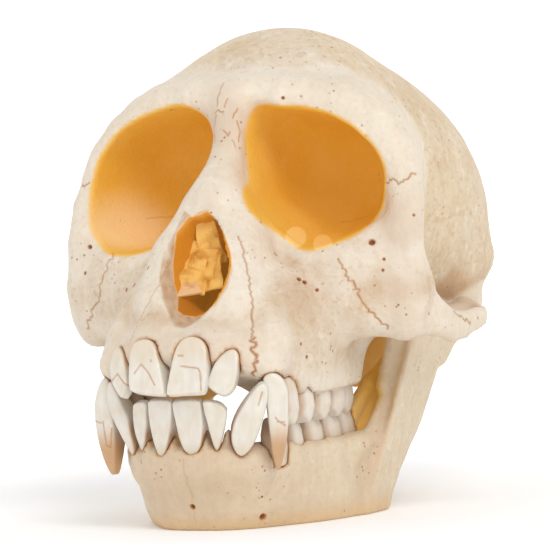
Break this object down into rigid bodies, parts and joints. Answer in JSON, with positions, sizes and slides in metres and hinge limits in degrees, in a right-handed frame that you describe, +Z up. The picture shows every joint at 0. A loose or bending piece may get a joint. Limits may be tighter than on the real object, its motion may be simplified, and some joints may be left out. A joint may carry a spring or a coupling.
{
  "type": "monkey skull",
  "caption": "Life-size dry skull of a young male macaque with its lower jaw, long canines and round orbits, resting on the jaw.",
  "frame": {"origin": "centre of the bounding box's underside, on the surface that the lower jaw rests on", "axes": "+X to the skull's own left, +Y to the back of the head, +Z up"},
  "size_m": [0.0678, 0.1048, 0.0827],
  "materials": {
    "cranium_bone": "dry bone, smooth and slightly waxy",
    "mandible_bone": "dry bone, a little warmer than the cranium"
  },
  "bodies": {
    "root": {"cranium": "cranium_bone", "mandible": "mandible_bone"}
  },
  "joints": []
}
